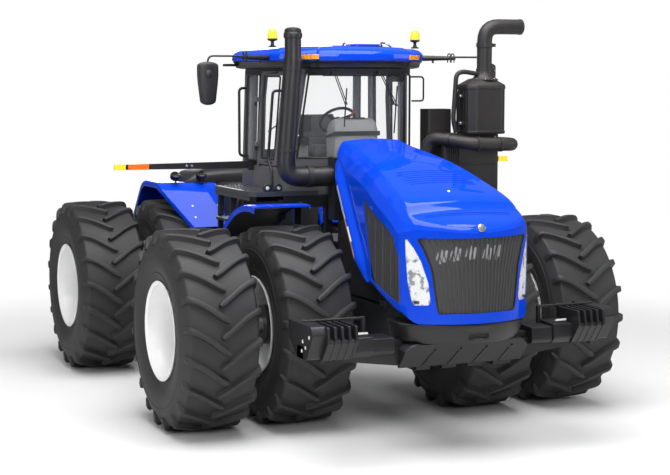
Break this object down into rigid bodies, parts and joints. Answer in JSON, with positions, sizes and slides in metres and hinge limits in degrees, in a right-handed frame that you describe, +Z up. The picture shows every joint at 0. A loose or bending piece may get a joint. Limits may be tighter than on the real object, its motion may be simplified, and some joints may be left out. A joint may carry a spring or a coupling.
{
  "type": "articulated farm tractor",
  "caption": "All-wheel-drive farm tractor hinged in the middle, on paired wheels, with a cab, an opening hood and a cab door.",
  "frame": {"origin": "on the ground, on the centreline, under the middle of the overall length", "axes": "front towards -Y, +Z up, +X towards the tractor's left"},
  "size_m": [5.0004, 7.38, 4.2727],
  "materials": {
    "blue_paint": "gloss",
    "dark_paint": "satin",
    "grey_paint": "satin",
    "white_paint": "gloss",
    "tyre_rubber": "matt",
    "black_plastic": "matt",
    "window_glass": "clear",
    "lamp_glass": "clear",
    "amber_plastic": "clear",
    "red_plastic": "clear",
    "seat_fabric": "woven",
    "bright_steel": "brushed",
    "exhaust_steel": "satin"
  },
  "bodies": {
    "front_unit": {"front_frame": "dark_paint", "front_axle": "dark_paint", "engine_block": "grey_paint", "radiator": "black_plastic", "bulkhead": "black_plastic", "nose_cowl": "black_plastic", "front_weights": "grey_paint", "bumper_boxes": "grey_paint", "cab_body": "dark_paint", "cab_glass": "window_glass", "roof_trim": "black_plastic", "roof": "blue_paint", "corner_lamps": "amber_plastic", "beacons": "amber_plastic", "mirrors": "black_plastic", "dashboard": "black_plastic", "steering_wheel": "black_plastic", "seat_base": "dark_paint", "seat_cushion": "seat_fabric", "seat_back": "seat_fabric", "side_console": "black_plastic", "front_fenders": "blue_paint", "platforms": "blue_paint", "ladder": "dark_paint", "handrails": "dark_paint", "intake_snorkel": "black_plastic", "exhaust_housing": "exhaust_steel", "exhaust_canister": "exhaust_steel", "exhaust_stack": "exhaust_steel", "exhaust_pipe": "exhaust_steel", "marker_bars": "black_plastic"},
    "hood": {"hood": "blue_paint", "front_grille": "black_plastic", "headlights": "lamp_glass", "side_grilles": "black_plastic"},
    "door": {"door_frame": "dark_paint", "door_glass": "window_glass"},
    "yoke": {"hinge_yoke": "dark_paint"},
    "rear_unit": {"rear_frame": "dark_paint", "rear_axle": "dark_paint", "drawbar": "dark_paint", "fuel_tank": "dark_paint", "tank_cover": "grey_paint", "rear_fenders": "blue_paint", "work_lamps": "lamp_glass", "tail_lamps": "red_plastic", "remote_couplers": "bright_steel"},
    "front_right_wheel_pair": {"front_right_tyres": "tyre_rubber", "front_right_wheels": "white_paint"},
    "front_left_wheel_pair": {"front_left_tyres": "tyre_rubber", "front_left_wheels": "white_paint"},
    "rear_right_wheel_pair": {"rear_right_tyres": "tyre_rubber", "rear_right_wheels": "white_paint"},
    "rear_left_wheel_pair": {"rear_left_tyres": "tyre_rubber", "rear_left_wheels": "white_paint"},
    "right_barrel": {"right_steering_barrel": "dark_paint"},
    "right_rod": {"right_steering_rod": "bright_steel"},
    "left_barrel": {"left_steering_barrel": "dark_paint"},
    "left_rod": {"left_steering_rod": "bright_steel"}
  },
  "joints": [
    {"name": "hood_hinge", "type": "hinge", "parent": "front_unit", "child": "hood", "pos_m": [0, -1.23, 2.85], "axis": [-1, 0, 0], "range_deg": [0, 45]},
    {"name": "door_hinge", "type": "hinge", "parent": "front_unit", "child": "door", "pos_m": [-0.866, 0.088, 3], "axis": [0, 0, -1], "range_deg": [0, 75]},
    {"name": "steering", "type": "hinge", "parent": "front_unit", "child": "yoke", "pos_m": [0, 0.596, 1.1], "axis": [0, 0, 1], "range_deg": [-36, 36]},
    {"name": "rear_roll", "type": "hinge", "parent": "yoke", "child": "rear_unit", "pos_m": [0, 0.596, 1.1], "axis": [0, 1, 0], "range_deg": [-13, 13]},
    {"name": "front_right_spin", "type": "hinge", "parent": "front_unit", "child": "front_right_wheel_pair", "pos_m": [0, -1.36, 1.0425], "axis": [1, 0, 0], "continuous": true},
    {"name": "front_left_spin", "type": "hinge", "parent": "front_unit", "child": "front_left_wheel_pair", "pos_m": [0, -1.36, 1.0425], "axis": [1, 0, 0], "continuous": true},
    {"name": "rear_right_spin", "type": "hinge", "parent": "rear_unit", "child": "rear_right_wheel_pair", "pos_m": [0, 2.552, 1.0425], "axis": [1, 0, 0], "continuous": true},
    {"name": "rear_left_spin", "type": "hinge", "parent": "rear_unit", "child": "rear_left_wheel_pair", "pos_m": [0, 2.552, 1.0425], "axis": [1, 0, 0], "continuous": true},
    {"name": "right_barrel_swing", "type": "hinge", "parent": "front_unit", "child": "right_barrel", "pos_m": [-0.26, -0.104, 1.155], "axis": [0, 0, 1], "range_deg": [-2.8, 2.8]},
    {"name": "right_rod_slide", "type": "slide", "parent": "right_barrel", "child": "right_rod", "axis": [0, 1, 0], "range_m": [-0.155, 0.155]},
    {"name": "left_barrel_swing", "type": "hinge", "parent": "front_unit", "child": "left_barrel", "pos_m": [0.26, -0.104, 1.155], "axis": [0, 0, 1], "range_deg": [-2.8, 2.8]},
    {"name": "left_rod_slide", "type": "slide", "parent": "left_barrel", "child": "left_rod", "axis": [0, 1, 0], "range_m": [-0.155, 0.155]}
  ],
  "couplings": [
    {"joint": "right_barrel_swing", "follows": "steering", "ratio": 0.0739},
    {"joint": "right_rod_slide", "follows": "steering", "m_per_rad": -0.243},
    {"joint": "left_barrel_swing", "follows": "steering", "ratio": 0.0739},
    {"joint": "left_rod_slide", "follows": "steering", "m_per_rad": 0.243}
  ]
}
